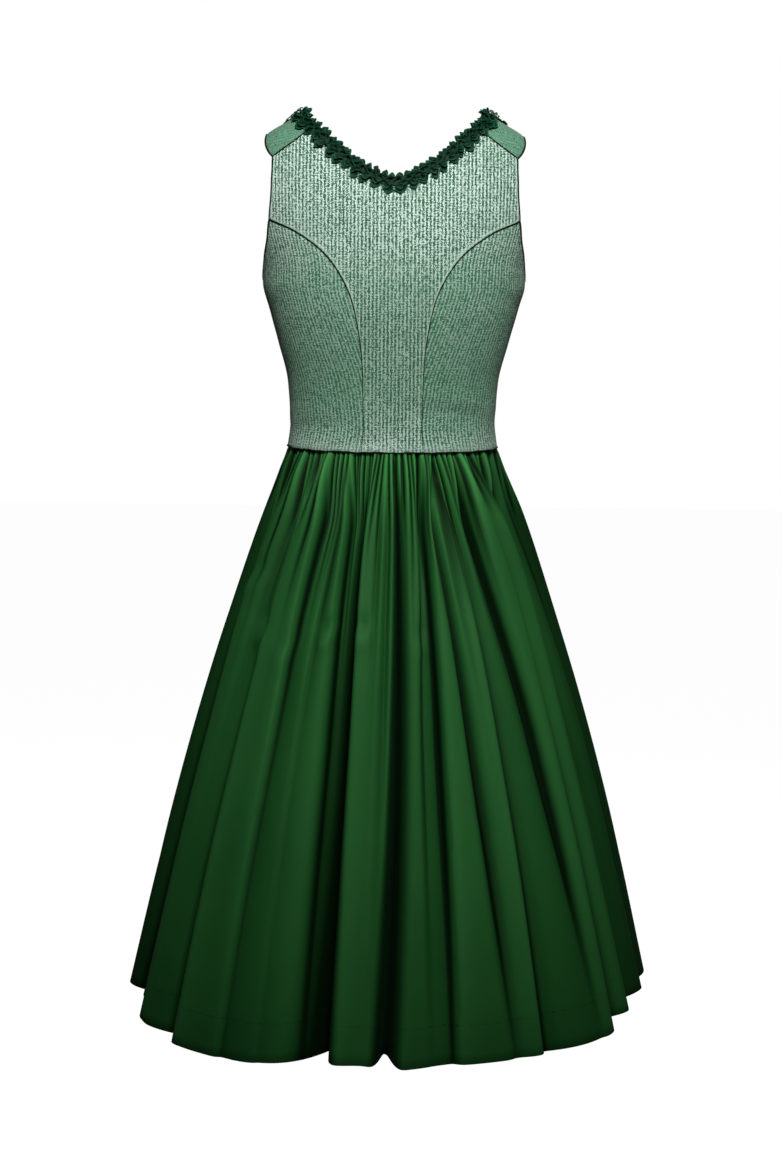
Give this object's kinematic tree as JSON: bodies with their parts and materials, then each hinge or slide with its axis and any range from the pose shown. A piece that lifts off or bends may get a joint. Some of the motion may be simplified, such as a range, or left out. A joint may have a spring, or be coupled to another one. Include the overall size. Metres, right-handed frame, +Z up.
{
  "type": "dirndl dress",
  "caption": "Sleeveless dirndl dress, hollow as worn: fitted bodice with princess seams, ruched trim round a V neck and piping, over a full gathered skirt.",
  "frame": {"origin": "midway between the two shoulder straps, at the height where the wearer's shoulders carry them", "axes": "+Z is up along the wearer; +Y is out of the front of the dress; -Y is out of its back; +X is the wearer's right"},
  "size_m": [0.6788, 0.6059, 1.1583],
  "materials": {
    "bodice_cloth": "matt wool and linen herringbone in grey-green and off-white, narrow vertical stripes",
    "front_cloth": "matt slubby twill in one green",
    "skirt_cloth": "smooth cotton sateen in deep green with a soft sheen",
    "trim_ribbon": "dark green taffeta ribbon, pleated and pinched",
    "piping": "dark green cotton cord cover"
  },
  "bodies": {
    "root": {"back_centre": "bodice_cloth", "side_back_left": "bodice_cloth", "side_back_right": "bodice_cloth", "side_front_left": "bodice_cloth", "side_front_right": "bodice_cloth", "front_left": "front_cloth", "front_right": "front_cloth", "front_underlap": "front_cloth", "skirt_back": "skirt_cloth", "skirt_front_left": "skirt_cloth", "skirt_front_right": "skirt_cloth", "neck_trim": "trim_ribbon", "princess_piping_left": "piping", "princess_piping_right": "piping", "shoulder_piping_left": "piping", "shoulder_piping_right": "piping", "armhole_piping_left": "piping", "armhole_piping_right": "piping", "waist_piping": "piping"}
  },
  "joints": []
}
